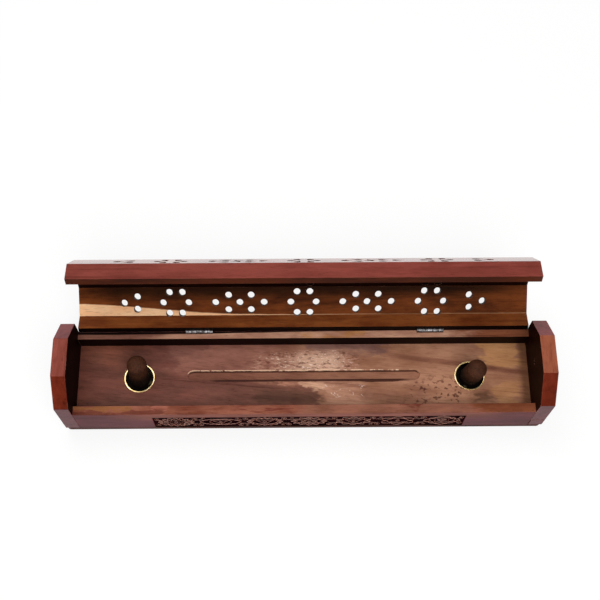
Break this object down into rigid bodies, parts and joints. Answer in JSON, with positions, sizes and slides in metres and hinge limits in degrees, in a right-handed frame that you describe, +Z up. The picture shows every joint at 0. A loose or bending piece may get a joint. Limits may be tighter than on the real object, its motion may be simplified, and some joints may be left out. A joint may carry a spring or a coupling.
{
  "type": "incense burner box",
  "caption": "Long wooden incense box with a pierced hinged lid, brass cone cups and an ash groove in its tray, and a storage compartment behind a swinging end door.",
  "frame": {"origin": "centre of the underside of the bottom board, where the box stands on the table", "axes": "+X along the length towards the end with the storage door and stick hole, -Y towards the front with the frieze, +Z up"},
  "size_m": [0.305, 0.0912, 0.0845],
  "materials": {
    "stained_wood": "satin",
    "tray_wood": "satin",
    "bottom_wood": "satin",
    "brass": "polished",
    "steel": "satin",
    "incense": "matte"
  },
  "bodies": {
    "base": {"bottom_board": "bottom_wood", "front_wall": "stained_wood", "back_wall": "stained_wood", "left_end_block": "stained_wood", "right_end_block": "stained_wood", "tray_floor": "tray_wood", "left_cone_cup": "brass", "right_cone_cup": "brass", "left_incense_cone": "incense", "right_incense_cone": "incense", "left_base_leaf": "steel", "right_base_leaf": "steel", "left_hinge_pin": "steel", "right_hinge_pin": "steel", "base_leaf_screws": "steel", "door_pivot_pin": "brass"},
    "lid": {"lid_front_rail": "stained_wood", "lid_front_panel": "stained_wood", "lid_top_panel": "stained_wood", "lid_back_panel": "stained_wood", "lid_back_rail": "stained_wood", "left_lid_leaf": "steel", "right_lid_leaf": "steel", "lid_leaf_screws": "steel"},
    "door": {"storage_door": "stained_wood"}
  },
  "joints": [
    {"name": "lid_hinge", "type": "hinge", "parent": "base", "child": "lid", "pos_m": [0, 0.0267, 0.0315], "axis": [-1, 0, 0], "range_deg": [-104, 0]},
    {"name": "door_pivot", "type": "hinge", "parent": "base", "child": "door", "pos_m": [0.148, 0.0235, 0.0088], "axis": [0, 0, 1], "range_deg": [0, 90]}
  ]
}
